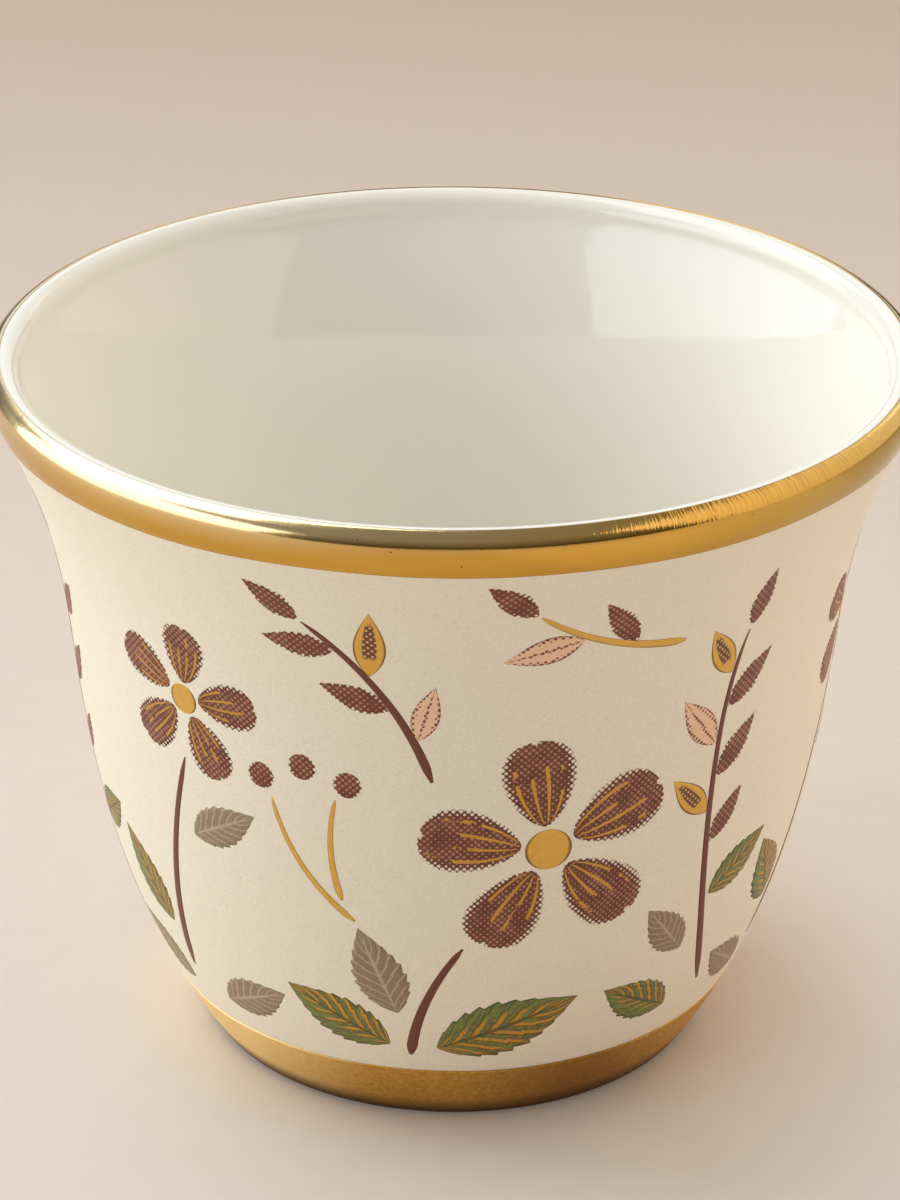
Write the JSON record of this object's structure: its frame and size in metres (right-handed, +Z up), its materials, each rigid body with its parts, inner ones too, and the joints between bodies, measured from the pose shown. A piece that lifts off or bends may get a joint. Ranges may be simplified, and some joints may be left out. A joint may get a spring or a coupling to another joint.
{
  "type": "arabic coffee cup",
  "caption": "Small handleless porcelain coffee cup with a flared lip, narrow foot ring, gilded lip and foot, white inside and cream outside with a fired floral print.",
  "frame": {"origin": "centre of the foot ring in the plane of the table that the cup stands on", "axes": "+Z up along the axis of the cup, -Y towards the front of the print, +X to the right of it"},
  "size_m": [0.0682, 0.0682, 0.0538],
  "materials": {
    "porcelain": "bare fired porcelain, matt, seen only on the foot ring",
    "clear_glaze": "clear glaze on white porcelain, glossy",
    "satin_glaze": "cream satin glaze with a fine speckle",
    "gilding": "burnished bright gold, fired on the glaze",
    "maroon_enamel": "screen-printed maroon enamel, half gloss",
    "green_enamel": "screen-printed moss green enamel, half gloss",
    "taupe_enamel": "screen-printed grey-brown enamel, half gloss",
    "peach_enamel": "screen-printed peach enamel, half gloss",
    "gold_enamel": "screen-printed bright gold, fired on the glaze"
  },
  "bodies": {
    "root": {"porcelain_body": "porcelain", "inner_glaze": "clear_glaze", "outer_glaze": "satin_glaze", "base_glaze": "clear_glaze", "rim_gilding": "gilding", "foot_gilding": "gilding", "maroon_enamel": "maroon_enamel", "green_enamel": "green_enamel", "taupe_enamel": "taupe_enamel", "peach_enamel": "peach_enamel", "gold_enamel": "gold_enamel"}
  },
  "joints": []
}
